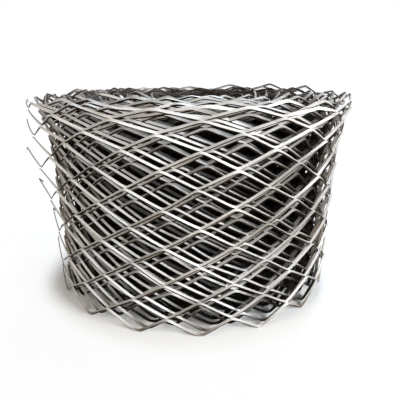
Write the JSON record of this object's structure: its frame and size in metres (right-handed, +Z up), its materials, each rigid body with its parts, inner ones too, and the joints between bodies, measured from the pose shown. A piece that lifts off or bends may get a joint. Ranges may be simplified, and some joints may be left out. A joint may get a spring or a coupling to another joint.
{
  "type": "brick reinforcement mesh coil",
  "caption": "Coil of expanded metal mesh strip for bedding in brickwork joints, standing on its end and flaring slightly at the top.",
  "frame": {"origin": "centre of the lower end, on the ground the coil stands on", "axes": "+Z up along the bore, -Y towards the viewer of the picture"},
  "size_m": [0.2913, 0.291, 0.17],
  "materials": {
    "bright_steel": "bright galvanised steel sheet, sheared and stretched"
  },
  "bodies": {
    "root": {"mesh_coil": "bright_steel"}
  },
  "joints": []
}
